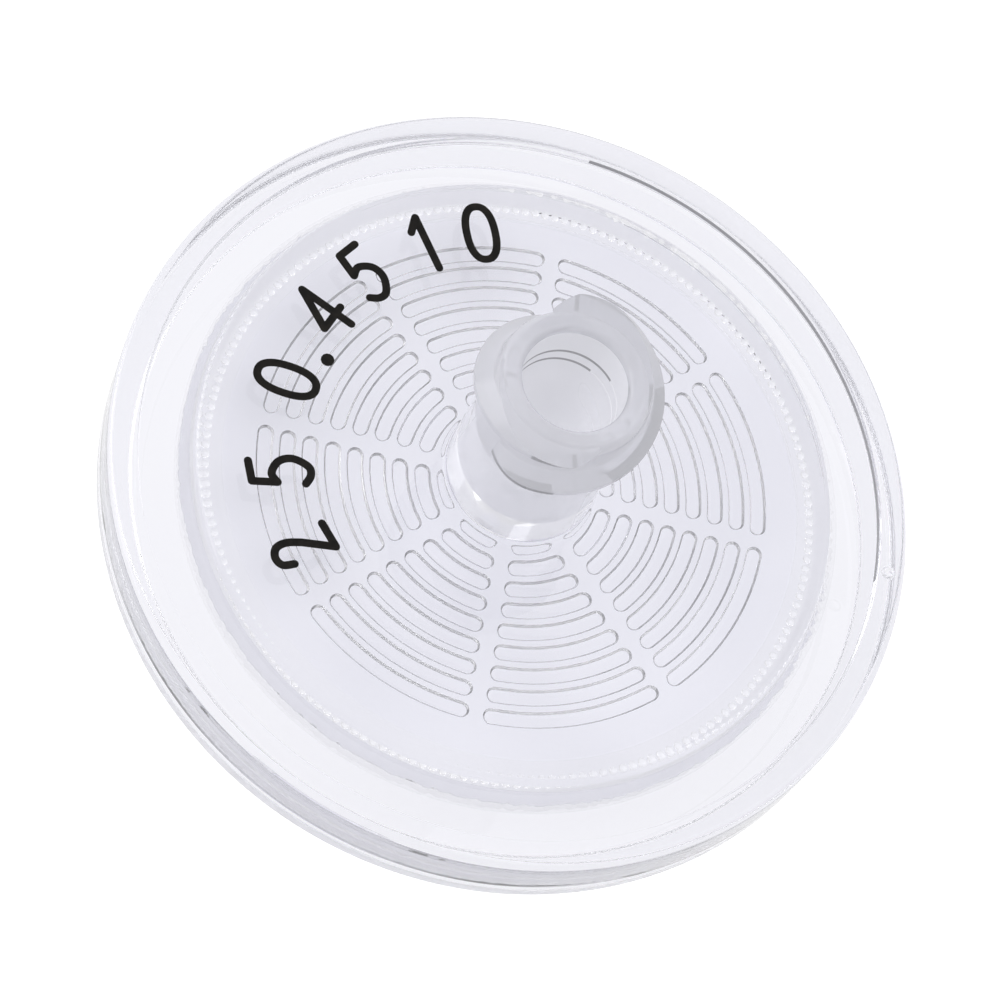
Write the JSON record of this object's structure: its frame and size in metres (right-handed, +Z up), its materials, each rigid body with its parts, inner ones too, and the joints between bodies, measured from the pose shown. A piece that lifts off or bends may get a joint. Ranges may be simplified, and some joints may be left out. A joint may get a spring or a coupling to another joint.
{
  "type": "syringe filter",
  "caption": "Clear disc syringe filter: a white membrane between two ribbed plastic halves, with a female luer lock inlet and a male luer slip outlet.",
  "frame": {"origin": "on the surface that the filter rests on, under the middle of its bounding box", "axes": "+Z up from that surface, +X along the disc's level diameter; the filter's own axis leans from +Z towards -Y, with the inlet up and the outlet tip down"},
  "size_m": [0.034, 0.0286, 0.0234],
  "materials": {
    "housing": "clear moulded plastic with a slight haze",
    "ring": "clear glossy plastic",
    "membrane": "white matt porous film"
  },
  "bodies": {
    "root": {"inlet_housing": "housing", "outlet_housing": "housing", "sealing_ring": "ring", "membrane": "membrane"}
  },
  "joints": []
}
